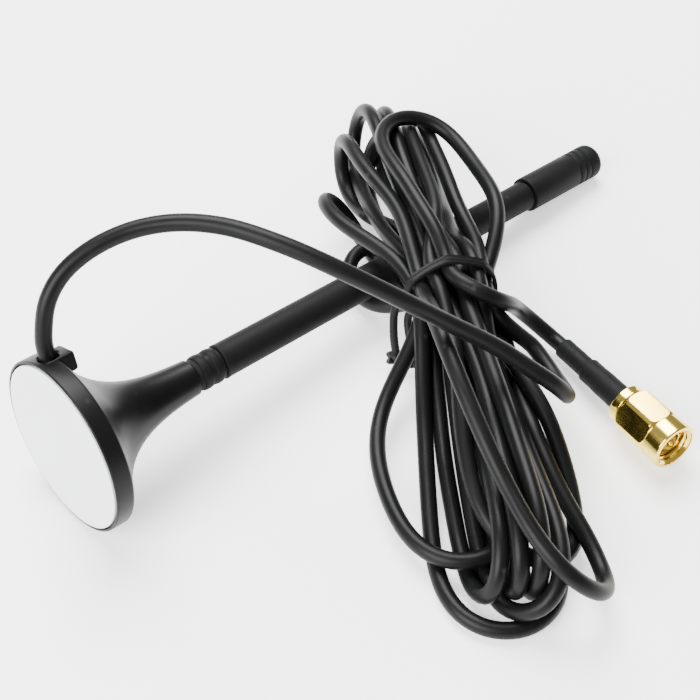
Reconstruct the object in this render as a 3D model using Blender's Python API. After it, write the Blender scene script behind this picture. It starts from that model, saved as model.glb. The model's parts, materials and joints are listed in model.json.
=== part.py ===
"""Magnetic-base whip antenna with its lead, tied hank and screw-on coaxial connector.

Frame: +X runs along the mast from base to tip, +Z is up, and the antenna lies on its side on the plane z = 0.
The origin is the middle of the antenna's footprint. The code below works in millimetres and scales to metres.
"""

import bmesh
import bpy
import numpy as np
from math import asin, atan2, cos, exp, hypot, pi, radians, sin, tau
from mathutils import Matrix, Vector

MM = 0.001

# ---- driving dimensions, in millimetres ------------------------------------------------------------------------
RIM_RADIUS = 15.0            # magnetic base
RIM_TOP = 3.3                # height of the short cylindrical rim above the pad face
NECK_TOP = 25.5              # where the flared housing ends
NECK_RADIUS = 2.8            # radius that the flare tends to
FLARE_LENGTH = 6.2           # length in which the flare loses 63 % of its spread
HOUSING_WALL = 1.5
LIP_RECESS = 0.15            # the lip stands this far behind the pad face
PAD_RADIUS = 14.25
PAD_THICKNESS = 0.5
MAST_LENGTH = 124.5          # pad face to the tip of the cap
MAST_FOOT = 26.4
TUBE_START = 31.0
TUBE_RADIUS_FOOT = 3.05
TUBE_RADIUS_TIP = 2.8
CAP_START = 105.3
CAP_RADIUS = 3.35
CAP_ROUNDING = 1.6
CAP_GROOVES = (117.9, 119.5, 121.0)
STUD_RADIUS = 1.5            # M3 stud, 0.5 mm pitch
CABLE_RADIUS = 1.4
EXIT_HEIGHT = 2.75           # cable hole above the pad face
EXIT_ANGLE = radians(24)     # cable hole's turn from straight up, seen from the tip
HOLE_RADIUS = 1.7
GAP = 0.3                    # clearance between touching pieces
NUT_FLATS = 8.0              # coupling nut across its flats
NUT_LENGTH = 10.6
NUT_FRONT_LENGTH = 3.8
NUT_FRONT_RADIUS = 4.25
THREAD_RADIUS = 3.15         # 1/4-36 female thread, plain bore
COLLAR_LENGTH = 1.7          # connector body's rear ring
OUTER_SHRINK = 9.2
INNER_SHRINK = 6.7           # the length of it that shows
MOUTH = Vector((17.8, -59.4, 5.4))           # centre of the connector's mouth
CONNECTOR_HEADING = Vector((-0.134, -0.988, 0.07)).normalized()
TIE_CENTRE = Vector((8.6, -15.2, 14.4))      # middle of the hank's waist
HANK_HEADING = Vector((0.545, 0.839, 0)).normalized()
TIE_INNER_RADIUS = 7.55
TIE_THICKNESS = 0.6
TIE_WIDTH = 2.6
HOUSING_SIDES = 44
ROUND = 32                   # sides of a small turned piece

# The antenna rests on its rim's front edge and on the cap's rounded end, so its axis dips towards the tip.
ROUNDING_START = MAST_LENGTH - CAP_ROUNDING
ROUNDING_MIDDLE = CAP_RADIUS - CAP_ROUNDING
TO_ROUNDING = (ROUNDING_START - RIM_TOP, RIM_RADIUS - ROUNDING_MIDDLE)
TILT = atan2(TO_ROUNDING[1], TO_ROUNDING[0]) - asin(CAP_ROUNDING / hypot(*TO_ROUNDING))
PAD_TO_TIP = ROUNDING_START * cos(TILT) + ROUNDING_MIDDLE * sin(TILT) + CAP_ROUNDING
PAD_TO_REAR = PAD_RADIUS * sin(TILT)
PAD_CENTRE = Vector(
    ((PAD_TO_REAR - PAD_TO_TIP) / 2, 0, RIM_RADIUS * cos(TILT) + RIM_TOP * sin(TILT))
)

# Hand-chosen route points, in millimetres.
LEAD_ROUTE = [
    (-56.4, 7.6, 32.6),
    (-54.3, 8.6, 36.8),
    (-50.9, 9.0, 40.0),
    (-45.9, 8.2, 42.6),
    (-39.9, 5.9, 44.4),
    (-34.5, 1.8, 45.6),
    (-29.6, -4.2, 46.0),
    (-25.0, -12.6, 45.2),
    (-20.6, -19.6, 42.6),
    (-14.4, -26.0, 37.2),
    (-7.6, -30.6, 30.4),
    (-1.6, -35.6, 24.6),
    (1.9, -40.2, 20.6),
    (4.1, -43.2, 18.0),
    (6.0, -44.2, 15.2),
    (7.9, -43.4, 12.4),
    (9.8, -41.0, 10.4),
    (11.4, -37.6, 9.4),
    (12.5, -34.0, 9.5),
    (12.9, -30.6, 10.4),
]
TAIL_ROUTE = [
    (15.8, -21.8, 11.4),
    (18.5, -21.7, 8.6),
    (20.5, -23.5, 5.6),
    (21.6, -26.1, 3.9),
]

# Sections across the hank: distance along it from the tie, sideways middle, half width, low z, high z, squareness.
HANK_SECTIONS = [
    (-60.5, 1.0, 5.0, 0.4, 4.6, 2.0),
    (-57.0, 2.0, 10.0, 0.0, 8.0, 2.4),
    (-48.0, 0.5, 13.6, 0.0, 14.0, 2.6),
    (-36.0, -2.4, 14.6, 0.0, 17.0, 2.6),
    (-25.0, -3.2, 14.2, 0.0, 18.0, 2.6),
    (-15.0, -1.6, 11.0, 2.0, 19.6, 2.4),
    (-7.0, 0.0, 8.0, 5.0, 20.6, 2.2),
    (-3.0, 0.0, 7.1, 7.2, 21.5, 2.0),
    (3.0, 0.0, 7.1, 7.2, 21.5, 2.0),
    (8.0, -0.6, 9.0, 4.0, 22.0, 2.2),
    (15.0, -2.0, 12.2, 0.6, 22.4, 2.4),
    (25.0, -2.4, 14.2, 0.0, 22.0, 2.6),
    (35.0, -3.2, 13.0, 0.0, 20.0, 2.6),
    (45.0, -4.6, 9.8, 0.0, 17.0, 2.6),
    (50.0, -5.0, 7.0, 2.0, 14.0, 2.4),
    (53.0, -5.0, 3.4, 5.0, 11.0, 2.0),
]


# ---- shared makers ---------------------------------------------------------------------------------------------
def finish(name, colour, roughness, metallic=0.0):
    material = bpy.data.materials.new(name)
    material.use_nodes = True
    shader = material.node_tree.nodes["Principled BSDF"]
    shader.inputs["Base Color"].default_value = (*colour, 1)
    shader.inputs["Roughness"].default_value = roughness
    shader.inputs["Metallic"].default_value = metallic
    return material


def empty(name, location, turn, parent=None):
    """A guide on a joint's axis. Its local +Z is the axis."""
    guide = bpy.data.objects.new(name, None)
    guide.matrix_world = Matrix.Translation(Vector(location) * MM) @ turn.to_4x4()
    guide.parent = parent
    bpy.context.scene.collection.objects.link(guide)
    return guide


def add(name, bm, material, parent=None):
    """The bmesh, drawn in millimetres, becomes one named object, shaded smooth up to its sharp edges."""
    bmesh.ops.scale(bm, vec=(MM, MM, MM), verts=bm.verts)
    bmesh.ops.recalc_face_normals(bm, faces=bm.faces)
    mesh = bpy.data.meshes.new(name)
    bm.to_mesh(mesh)
    bm.free()
    mesh.shade_smooth()
    mesh.set_sharp_from_angle(angle=radians(35))
    mesh.materials.append(material)
    piece = bpy.data.objects.new(name, mesh)
    piece.parent = parent
    bpy.context.scene.collection.objects.link(piece)
    return piece


def turned(profile, sides=ROUND):
    """Spins a profile of (radius, height) points about local Z. Points at radius 0 close it, otherwise it is a ring."""
    bm = bmesh.new()
    verts = [bm.verts.new((radius, 0, height)) for radius, height in profile]
    ends = list(zip(verts, verts[1:]))
    if profile[0][0] > 0:
        ends.append((verts[-1], verts[0]))
    edges = [bm.edges.new(pair) for pair in ends]
    bmesh.ops.spin(bm, geom=verts + edges, axis=(0, 0, 1), cent=(0, 0, 0), angle=tau, steps=sides)
    bmesh.ops.remove_doubles(bm, verts=bm.verts, dist=1e-4)
    return bm


def ring(inner, outer, low, high, chamfer=0.0):
    """A tube's profile, with its two outer edges chamfered."""
    if not chamfer:
        return [(inner, low), (outer, low), (outer, high), (inner, high)]
    return [
        (inner, low),
        (outer - chamfer, low),
        (outer, low + chamfer),
        (outer, high - chamfer),
        (outer - chamfer, high),
        (inner, high),
    ]


def rod(radius, low, high, chamfer):
    """A plain rod's profile from low to high, with chamfered ends."""
    return [
        (0, low),
        (radius - chamfer, low),
        (radius, low + chamfer),
        (radius, high - chamfer),
        (radius - chamfer, high),
        (0, high),
    ]


def prism(sides, across_flats, low, high):
    bm = bmesh.new()
    corner = across_flats / 2 / cos(pi / sides)
    bmesh.ops.create_cone(
        bm, cap_ends=True, segments=sides, radius1=corner, radius2=corner, depth=high - low,
        matrix=Matrix.Translation((0, 0, (low + high) / 2)),
    )
    return bm


def cut(piece, tool_bm, operation="DIFFERENCE"):
    """Joins or cuts piece with a hidden tool through an exact Boolean, and leaves the result as plain mesh."""
    tool = add("tool", tool_bm, piece.data.materials[0], piece.parent)
    tool.hide_render = True
    tool.display_type = "WIRE"
    boolean = piece.modifiers.new("cut", "BOOLEAN")
    boolean.operation = operation
    boolean.solver = "EXACT"
    boolean.object = tool
    bpy.context.view_layer.update()
    evaluated = piece.evaluated_get(bpy.context.evaluated_depsgraph_get())
    result = bpy.data.meshes.new_from_object(evaluated)
    piece.modifiers.remove(boolean)
    piece.data = result
    bpy.data.objects.remove(tool)
    result.shade_smooth()
    result.set_sharp_from_angle(angle=radians(35))
    return piece


def smooth_route(points, spacing):
    """Even steps along a Catmull-Rom curve through the points."""
    ends = [2 * points[0] - points[1], *points, 2 * points[-1] - points[-2]]
    fine = []
    for before, start, finish_, after in zip(ends, ends[1:], ends[2:], ends[3:]):
        for t in np.linspace(0, 1, 24, endpoint=False):
            fine.append(
                0.5
                * (
                    2 * start
                    + (finish_ - before) * t
                    + (2 * before - 5 * start + 4 * finish_ - after) * t**2
                    + (3 * start - before - 3 * finish_ + after) * t**3
                )
            )
    fine.append(points[-1])
    places = np.array([tuple(p) for p in fine])
    run = np.concatenate([[0], np.cumsum(np.linalg.norm(np.diff(places, axis=0), axis=1))])
    steps = np.linspace(0, run[-1], max(2, round(run[-1] / spacing) + 1))
    return np.column_stack([np.interp(steps, run, places[:, k]) for k in range(3)])


def tube(name, points, radius, material, parent=None, bevel_resolution=2):
    """A round tube with filled caps along the points, which are in millimetres."""
    curve = bpy.data.curves.new(name, "CURVE")
    curve.dimensions = "3D"
    curve.bevel_depth = radius * MM
    curve.bevel_resolution = bevel_resolution
    curve.use_fill_caps = True
    spline = curve.splines.new("POLY")
    spline.points.add(len(points) - 1)
    for point, place in zip(spline.points, points):
        point.co = (*(Vector(place) * MM), 1)
    spline.use_smooth = True
    curve.materials.append(material)
    piece = bpy.data.objects.new(name, curve)
    piece.parent = parent
    bpy.context.scene.collection.objects.link(piece)
    return piece


def flare(height):
    """Outer radius of the housing's flare."""
    return NECK_RADIUS + (RIM_RADIUS - NECK_RADIUS) * exp(-(height - RIM_TOP) / FLARE_LENGTH)


def quarter(middle_r, middle_z, radius, start, end, steps=4):
    """Points of an arc in the profile plane, its angles in degrees from +radius towards +height."""
    angles = [radians(start + (end - start) * k / steps) for k in range(steps + 1)]
    return [(middle_r + radius * cos(a), middle_z + radius * sin(a)) for a in angles]


# ---- start ------------------------------------------------------------------------------------------------------
for old in list(bpy.data.objects):
    bpy.data.objects.remove(old)

BLACK_PLASTIC = finish("black_plastic", (0.012, 0.012, 0.013), 0.42)
MAST_PLASTIC = finish("mast_plastic", (0.03, 0.03, 0.032), 0.6)
PAD_FILM = finish("pad_film", (0.82, 0.83, 0.84), 0.45)
FERRITE = finish("ferrite", (0.05, 0.05, 0.055), 0.6, 0.2)
STEEL = finish("zinc_steel", (0.55, 0.56, 0.58), 0.35, 1.0)
BRASS = finish("brass", (0.78, 0.6, 0.28), 0.3, 1.0)
GOLD = finish("gold_plate", (0.9, 0.68, 0.28), 0.2, 1.0)
COPPER = finish("copper", (0.8, 0.42, 0.26), 0.3, 1.0)
PTFE = finish("ptfe", (0.85, 0.8, 0.7), 0.5)
NITRILE = finish("nitrile", (0.02, 0.02, 0.02), 0.7)
CABLE_PVC = finish("cable_pvc", (0.014, 0.014, 0.015), 0.35)
SHRINK = finish("heat_shrink", (0.02, 0.02, 0.022), 0.6)
TIE_PLASTIC = finish("tie_plastic", (0.015, 0.015, 0.016), 0.4)

antenna_axis = empty("antenna_axis", PAD_CENTRE, Matrix.Rotation(pi / 2 + TILT, 3, "Y"))
mast_axis = empty("mast_axis", (0, 0, 0), Matrix.Identity(3), antenna_axis)
exit_turn = Matrix.Rotation(pi - EXIT_ANGLE, 4, "Z")      # local +X to the way the cable leaves


# ---- base -------------------------------------------------------------------------------------------------------
def base_housing():
    outside = [(RIM_RADIUS - 0.15, LIP_RECESS), (RIM_RADIUS, LIP_RECESS + 0.15), (RIM_RADIUS, RIM_TOP)]
    heights = [RIM_TOP + 0.5, 4.7, 5.8, 7.0, 8.4, 10.2, 12.4, 15.2, 19.0, NECK_TOP - 0.3]
    outside += [(flare(height), height) for height in heights]
    top = flare(NECK_TOP)
    inner_heights = [10.5, 8.6, 7.0, 5.6, 4.6, RIM_TOP + 0.6]
    inside = [(top - 0.3, NECK_TOP), (STUD_RADIUS + GAP, NECK_TOP), (STUD_RADIUS + GAP, inner_heights[0])]
    inside += [(flare(height) - HOUSING_WALL, height) for height in inner_heights]
    cavity = flare(inner_heights[-1]) - HOUSING_WALL
    recess = RIM_RADIUS - 0.45
    inside += [(cavity, 0.8), (recess, 0.8), (recess, LIP_RECESS)]
    housing = add("base_housing", turned(outside + inside, HOUSING_SIDES), BLACK_PLASTIC, antenna_axis)

    boss = bmesh.new()
    width, low, high, inner = 4.5, 1.2, 6.2, 9.9
    face = RIM_RADIUS * cos(asin(width / 2 / RIM_RADIUS))
    bmesh.ops.create_cube(boss, size=1)
    bmesh.ops.scale(boss, vec=(face - inner, width, high - low), verts=boss.verts)
    bmesh.ops.translate(boss, vec=((face + inner) / 2, 0, (high + low) / 2), verts=boss.verts)
    upright = [e for e in boss.edges if abs(e.verts[0].co.z - e.verts[1].co.z) > 1 or e.calc_face_angle() > 1]
    top_edges = [e for e in upright if max(v.co.z for v in e.verts) > high - 0.1]
    bmesh.ops.bevel(boss, geom=top_edges, offset=0.5, segments=2, profile=0.5, affect="EDGES")
    bmesh.ops.transform(boss, matrix=exit_turn, verts=boss.verts)
    # The boss starts inside the wall and stays out of the cavity, so only its proud part adds to the housing.
    cut(housing, boss, "UNION")
    cavity_profile = [(0, -1), (recess - 2.2, -1), (cavity, 0.8), (cavity, inner_heights[-1])]
    cavity_profile += [(flare(height) - HOUSING_WALL, height) for height in inner_heights[-2::-1]]
    cavity_profile += [(0, inner_heights[0])]
    cut(housing, turned(cavity_profile, HOUSING_SIDES))
    hole = bmesh.new()
    bmesh.ops.create_cone(hole, cap_ends=True, segments=24, radius1=HOLE_RADIUS, radius2=HOLE_RADIUS, depth=6)
    lay_down = Matrix.Translation((RIM_RADIUS, 0, EXIT_HEIGHT)) @ Matrix.Rotation(pi / 2, 4, "Y")
    bmesh.ops.transform(hole, matrix=exit_turn @ lay_down, verts=hole.verts)
    return cut(housing, hole)


def base_inside():
    """What the housing holds: pad, closing plate, magnet, keeper plate, and the stud with its nut and lug."""
    pad = [(0, 0), (PAD_RADIUS - 0.1, 0), (PAD_RADIUS, 0.1), (PAD_RADIUS, PAD_THICKNESS), (0, PAD_THICKNESS)]
    add("base_pad", turned(pad, HOUSING_SIDES), PAD_FILM, antenna_axis)
    add("closing_plate", turned([(0, 0.8), (12.0, 0.8), (12.0, 1.3), (0, 1.3)]), STEEL, antenna_axis)
    add("magnet", turned(ring(2.4, 10.0, 1.6, 3.8, 0.3)), FERRITE, antenna_axis)
    add("keeper_plate", turned(ring(2.4, 9.4, 4.1, 4.7)), STEEL, antenna_axis)
    nut = add("stud_nut", prism(6, 5.5, 6.4, 7.7), STEEL, antenna_axis)
    cut(nut, turned(rod(STUD_RADIUS + GAP, 5, 9, 0.1), 24))
    lug = add("solder_lug", turned(ring(STUD_RADIUS + GAP, 2.9, 8.0, 8.6), 24), COPPER, antenna_axis)
    tab = bmesh.new()
    bmesh.ops.create_cube(tab, size=1)
    bmesh.ops.scale(tab, vec=(2.4, 1.6, 0.4), verts=tab.verts)
    bmesh.ops.translate(tab, vec=(3.7, 0, 8.3), verts=tab.verts)
    bmesh.ops.transform(tab, matrix=exit_turn, verts=tab.verts)
    cut(lug, tab, "UNION")
    stud = rod(STUD_RADIUS, 6.0, 30.0, 0.4)
    flange = [(STUD_RADIUS, 8.9), (3.2, 8.9), (3.2, 10.1), (STUD_RADIUS, 10.1)]
    add("mast_stud", turned(stud[:3] + flange + stud[3:], 24), BRASS, antenna_axis)


def base_wiring():
    """The crimp sleeve on the lead's stripped end, and the wire from it to the solder lug."""
    stop = turned(ring(0.35, 1.15, 10.5, 12.1, 0.15), 16)
    lay_down = Matrix.Translation((0, 0, EXIT_HEIGHT)) @ Matrix.Rotation(pi / 2, 4, "Y")
    bmesh.ops.transform(stop, matrix=exit_turn @ lay_down, verts=stop.verts)
    add("cable_stop", stop, BRASS, antenna_axis)
    reach = [(11.0, 4.25), (9.8, 4.9), (8.3, 5.8), (6.8, 6.9), (5.6, 8.1)]
    points = [exit_turn @ Vector((radius, 0, height)) for radius, height in reach]
    tube("feed_wire", smooth_route(points, 1.0), 0.35, COPPER, antenna_axis, 1)


# ---- mast -------------------------------------------------------------------------------------------------------
def mast():
    add("mast_gasket", turned(ring(STUD_RADIUS + GAP, 2.7, 25.8, 26.1)), NITRILE, mast_axis)
    foot = [(2.65, MAST_FOOT), (2.95, MAST_FOOT), (3.1, 26.7), (3.14, 27.2), (3.1, 27.8), (2.92, 28.05)]
    foot += [(2.92, 28.25), (3.1, 28.5), (3.14, 29.4), (3.1, 30.4), (2.95, 30.7), (2.65, 30.7)]
    add("mast_ferrule", turned(foot), MAST_PLASTIC, mast_axis)
    add("threaded_insert", turned(ring(STUD_RADIUS + GAP, 2.35, 26.6, 30.5), 24), BRASS, mast_axis)
    spigot_end, bore = CAP_START + 4, 1.9
    shell = [
        (bore, TUBE_START),
        (TUBE_RADIUS_FOOT - 0.15, TUBE_START),
        (TUBE_RADIUS_FOOT, TUBE_START + 0.2),
        (TUBE_RADIUS_TIP, CAP_START - GAP),
        (2.3, CAP_START - GAP),
        (2.3, spigot_end),
        (bore, spigot_end),
    ]
    add("mast_tube", turned(shell), MAST_PLASTIC, mast_axis)
    add("coil_former", turned(rod(0.9, 31.5, 76.0, 0.2), 16), PTFE, mast_axis)
    add("whip_rod", turned(rod(0.6, 76.5, 120.8, 0.15), 16), STEEL, mast_axis)
    turns, per_turn, low, high = 8, 10, 34.0, 74.0
    count = turns * per_turn
    steps = [(tau * k / per_turn, low + (high - low) * k / count) for k in range(count + 1)]
    helix = [Vector((1.45 * cos(angle), 1.45 * sin(angle), height)) for angle, height in steps]
    tube("radiating_coil", helix, 0.25, COPPER, mast_axis, 1)


def tip_cap():
    outside = [(CAP_RADIUS - 0.15, CAP_START), (CAP_RADIUS, CAP_START + 0.15)]
    for height in CAP_GROOVES:
        outside += [(CAP_RADIUS, height - 0.25), (CAP_RADIUS - 0.2, height), (CAP_RADIUS, height + 0.25)]
    outside += quarter(ROUNDING_MIDDLE, ROUNDING_START, CAP_ROUNDING, 0, 90)
    socket, depth = 2.6, CAP_START + 4.3
    inside = [(0, MAST_LENGTH), (0, 121.5), (1.9, 121.5), (1.9, depth), (socket, depth), (socket, CAP_START)]
    profile = outside + inside
    # The profile touches the axis in its middle, so it is turned from there round both ways.
    start = profile.index((0, 121.5))
    add("tip_cap", turned(profile[start:] + profile[:start]), MAST_PLASTIC, mast_axis)


# ---- lead, hank and tie -----------------------------------------------------------------------------------------
def exit_points():
    """Two points on the cable hole's axis, from just inside the wall to clear of the boss."""
    place = Matrix.Translation(PAD_CENTRE) @ Matrix.Rotation(pi / 2 + TILT, 4, "Y") @ exit_turn
    return [place @ Vector((radius, 0, EXIT_HEIGHT)) for radius in (12.6, 17.0)]


def hank():
    """One closed solid with the outer shape of the tied turns, open where the mast passes through them."""
    sides = 20
    side = Vector((HANK_HEADING.y, -HANK_HEADING.x, 0))
    bm = bmesh.new()
    loops = []
    for along, middle, half_width, low, high, squareness in HANK_SECTIONS:
        centre = Vector((TIE_CENTRE.x, TIE_CENTRE.y, 0)) + HANK_HEADING * along + side * middle
        loop = []
        for k in range(sides):
            c, s = cos(tau * k / sides), sin(tau * k / sides)
            wide = half_width * abs(c) ** (2 / squareness) * (1 if c > 0 else -1)
            tall = (high - low) / 2 * abs(s) ** (2 / squareness) * (1 if s > 0 else -1)
            loop.append(bm.verts.new(centre + side * wide + Vector((0, 0, (high + low) / 2 + tall))))
        loops.append(loop)
    for one, two in zip(loops, loops[1:]):
        for k in range(sides):
            bm.faces.new((one[k], one[(k + 1) % sides], two[(k + 1) % sides], two[k]))
    bm.faces.new(loops[0])
    bm.faces.new(loops[-1])
    solid = add("cable_hank", bm, CABLE_PVC)
    tunnel = turned(rod(TUBE_RADIUS_FOOT + 0.6, 45, CAP_START - 0.5, 0.2), 20)
    place = Matrix.Translation(PAD_CENTRE) @ Matrix.Rotation(pi / 2 + TILT, 4, "Y")
    bmesh.ops.transform(tunnel, matrix=place, verts=tunnel.verts)
    return cut(solid, tunnel)


def tie():
    """The plastic-coated wire tie: a band round the waist and its twisted ends, which hang to the floor."""
    band = turned(ring(TIE_INNER_RADIUS, TIE_INNER_RADIUS + TIE_THICKNESS, -TIE_WIDTH / 2, TIE_WIDTH / 2), 36)
    turn = HANK_HEADING.to_track_quat("Z", "Y").to_matrix().to_4x4()
    bmesh.ops.transform(band, matrix=Matrix.Translation(TIE_CENTRE) @ turn, verts=band.verts)
    add("tie_band", band, TIE_PLASTIC)
    side = Vector((HANK_HEADING.y, -HANK_HEADING.x, 0))
    bm = bmesh.new()
    stations, twist = 13, radians(540)
    loops = []
    for k in range(stations):
        share = k / (stations - 1)
        centre = TIE_CENTRE + side * (-8.9 - 0.9 * share) - HANK_HEADING * 4.0 * share
        centre.z = 12.4 - 11.2 * share
        angle = twist * share
        across = (HANK_HEADING * cos(angle) + side * sin(angle)) * 0.9
        thick = (side * cos(angle) - HANK_HEADING * sin(angle)) * 0.35
        corners = (across + thick, thick - across, -across - thick, across - thick)
        loops.append([bm.verts.new(centre + corner) for corner in corners])
    for one, two in zip(loops, loops[1:]):
        for k in range(4):
            bm.faces.new((one[k], one[(k + 1) % 4], two[(k + 1) % 4], two[k]))
    bm.faces.new(loops[0])
    bm.faces.new(loops[-1])
    add("tie_tails", bm, TIE_PLASTIC)


# ---- connector --------------------------------------------------------------------------------------------------
def connector():
    """Screw-on plug. Heights run back from the mouth, along the connector's axis."""
    turn = (-CONNECTOR_HEADING).to_track_quat("Z", "Y").to_matrix()
    axis = empty("connector_axis", MOUTH, turn)
    nut_axis = empty("nut_axis", (0, 0, 0), Matrix.Identity(3), axis)

    hexagon = prism(6, NUT_FLATS, NUT_FRONT_LENGTH - 0.4, NUT_LENGTH)
    bmesh.ops.rotate(hexagon, matrix=Matrix.Rotation(pi / 6, 3, "Z"), verts=hexagon.verts)
    nut = add("coupling_nut", hexagon, GOLD, nut_axis)
    corner, bevel = 4.45, 0.45
    envelope = rod(corner, NUT_FRONT_LENGTH - 0.4, NUT_LENGTH, bevel)
    cut(nut, turned(envelope, 36), "INTERSECT")
    front = rod(NUT_FRONT_RADIUS, 0, NUT_FRONT_LENGTH, 0.2)
    cut(nut, turned(front[:4] + [(NUT_FRONT_RADIUS, NUT_FRONT_LENGTH), (0, NUT_FRONT_LENGTH)], 36), "UNION")
    groove_low, groove_high, rear_bore = 7.2, 8.4, 2.7
    bore = [
        (0, -1),
        (THREAD_RADIUS + 0.25, -1),
        (THREAD_RADIUS + 0.25, 0.25),
        (THREAD_RADIUS, 0.5),
        (THREAD_RADIUS, groove_low),
        (3.5, groove_low),
        (3.5, groove_high),
        (rear_bore, groove_high),
        (rear_bore, NUT_LENGTH + 1),
        (0, NUT_LENGTH + 1),
    ]
    cut(nut, turned(bore, 32))

    rear = NUT_LENGTH + GAP
    body = [
        (2.02, 1.5),
        (2.25, 1.5),
        (2.25, groove_low),
        (2.05, groove_low),
        (2.05, groove_high),
        (2.35, groove_high),
        (2.35, rear),
        (3.45, rear),
        (3.6, rear + 0.15),
        (3.6, rear + COLLAR_LENGTH - 0.15),
        (3.45, rear + COLLAR_LENGTH),
        (1.4, rear + COLLAR_LENGTH),
        (1.4, rear + COLLAR_LENGTH + 4),
        (0.9, rear + COLLAR_LENGTH + 4),
        (0.9, 9.9),
        (2.02, 9.9),
    ]
    add("connector_body", turned(body, 32), GOLD, axis)
    add("ptfe_insulator", turned(ring(0.75, 1.8, 2.0, 9.6), 24), PTFE, axis)
    add("centre_pin", turned([(0, 0.8), (0.2, 0.8), (0.45, 1.5), (0.45, 14.0), (0, 14.0)], 16), GOLD, axis)
    clip = add("snap_ring", turned(ring(2.35, 3.2, 7.5, 8.1), 32), COPPER, axis)
    slit = bmesh.new()
    bmesh.ops.create_cube(slit, size=1)
    bmesh.ops.scale(slit, vec=(2, 1, 2), verts=slit.verts)
    bmesh.ops.translate(slit, vec=(3, 0, 7.8), verts=slit.verts)
    cut(clip, slit)
    add("mating_gasket", turned(ring(2.45, 2.9, 6.2, 6.8), 24), NITRILE, axis)
    crimp = rear + COLLAR_LENGTH + GAP
    add("crimp_ferrule", turned(ring(1.58, 1.82, crimp, crimp + 5.5), 24), BRASS, axis)
    add("heat_shrink_outer", turned(ring(2.0, 2.3, crimp, crimp + OUTER_SHRINK, 0.12), 24), SHRINK, axis)
    end = crimp + OUTER_SHRINK + INNER_SHRINK
    add("heat_shrink_inner", turned(ring(1.58, 1.88, crimp + 5.8, end, 0.12), 24), SHRINK, axis)
    # The tail's straight end, from just clear of the shrink sleeve to inside the crimp.
    return [MOUTH - CONNECTOR_HEADING * back for back in (end + 1.6, end - 3.6, crimp + 4.3)]


base_housing()
base_inside()
base_wiring()
mast()
tip_cap()
lead_points = exit_points() + [Vector(p) for p in LEAD_ROUTE]
tube("cable_lead", smooth_route(lead_points, 2 * 2 * CABLE_RADIUS), CABLE_RADIUS, CABLE_PVC)
hank()
tie()
straight_end = connector()
tail_points = smooth_route([Vector(p) for p in TAIL_ROUTE] + straight_end[:2], 2 * 2 * CABLE_RADIUS)
tube("cable_tail", [*tail_points, straight_end[2]], CABLE_RADIUS, CABLE_PVC)
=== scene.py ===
"""Magnetic-base whip antenna with its cable tied in a hank and a gold screw-on plug.

The antenna lies on its side, with +X from base to tip and +Z up. The sections follow the object as it is put
together: base, mast, cable, tie, plug, then the floor, lights and camera. Sizes are in millimetres.
"""

import json
from collections import namedtuple
from math import asin, cos, exp, pi, radians, sin, tau

import bmesh
import bpy
import numpy as np
from mathutils import Matrix, Vector


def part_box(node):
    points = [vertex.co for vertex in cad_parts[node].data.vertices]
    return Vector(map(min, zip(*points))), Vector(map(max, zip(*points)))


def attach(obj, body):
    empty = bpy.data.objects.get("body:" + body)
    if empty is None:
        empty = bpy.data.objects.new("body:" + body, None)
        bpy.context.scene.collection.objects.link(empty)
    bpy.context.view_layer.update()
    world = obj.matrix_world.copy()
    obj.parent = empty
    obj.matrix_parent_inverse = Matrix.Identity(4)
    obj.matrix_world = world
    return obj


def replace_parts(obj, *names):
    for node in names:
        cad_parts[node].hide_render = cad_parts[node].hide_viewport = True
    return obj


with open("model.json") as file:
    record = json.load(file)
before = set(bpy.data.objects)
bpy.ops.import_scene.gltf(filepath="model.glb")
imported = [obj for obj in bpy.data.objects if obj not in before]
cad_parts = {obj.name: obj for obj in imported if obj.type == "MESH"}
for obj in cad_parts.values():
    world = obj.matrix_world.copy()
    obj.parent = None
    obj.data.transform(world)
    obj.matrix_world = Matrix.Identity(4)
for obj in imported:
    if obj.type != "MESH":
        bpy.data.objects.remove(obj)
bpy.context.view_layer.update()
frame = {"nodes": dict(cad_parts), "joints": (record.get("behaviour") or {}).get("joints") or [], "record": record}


# ---- base housing --------------------------------------------------------------------------------
# The flared foot is moulded in black ABS: a short cylindrical rim that sweeps up into the mast's neck, with
# a square boss at its side where the cable comes out. Its skin is satin, with the fine grain of the mould.
MM = 0.001
RIM_RADIUS = 15.0
RIM_TOP = 3.3
RIM_FILLET = 0.45
NECK_TOP = 25.5
NECK_RADIUS = 2.8
FLARE_LENGTH = 6.2
WALL = 1.5
LIP = 0.15
PAD_LEDGE = 0.8
RECESS_RADIUS = 14.55
STUD_CLEARANCE = 1.8
FLOOR_OF_NECK = 10.5
HOLE_RADIUS = 1.7
HOLE_START = 11.5
HOLE_END = 18.0
EXIT_HEIGHT = 2.75
EXIT_ANGLE = radians(24)
BOSS_WIDTH = 4.5
BOSS_LOW = 1.2
BOSS_HIGH = 6.2
BOSS_INNER = 9.9
ABS_BLACK = (0.0030, 0.0030, 0.0032)
ABS_WORN = (0.0055, 0.0055, 0.0058)

magnet_face = next(mount for mount in frame["record"]["mounts"] if mount["name"] == "magnet_face")
pad_centre = Vector(magnet_face["pos_m"]) / MM
mast_direction = -Vector(magnet_face["axis"]).normalized()
tilt = asin(-mast_direction.z)
antenna_place = Matrix.Translation(pad_centre) @ Matrix.Rotation(pi / 2 + tilt, 4, "Y")
exit_turn = Matrix.Rotation(pi - EXIT_ANGLE, 4, "Z")


def put(tree, kind, inputs=None, **settings):
    """Adds a shader node, with its settings and its unlinked input values, and returns it."""
    node = tree.nodes.new(kind)
    for name, value in settings.items():
        setattr(node, name, value)
    for name, value in (inputs or {}).items():
        node.inputs[name].default_value = value
    return node


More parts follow.
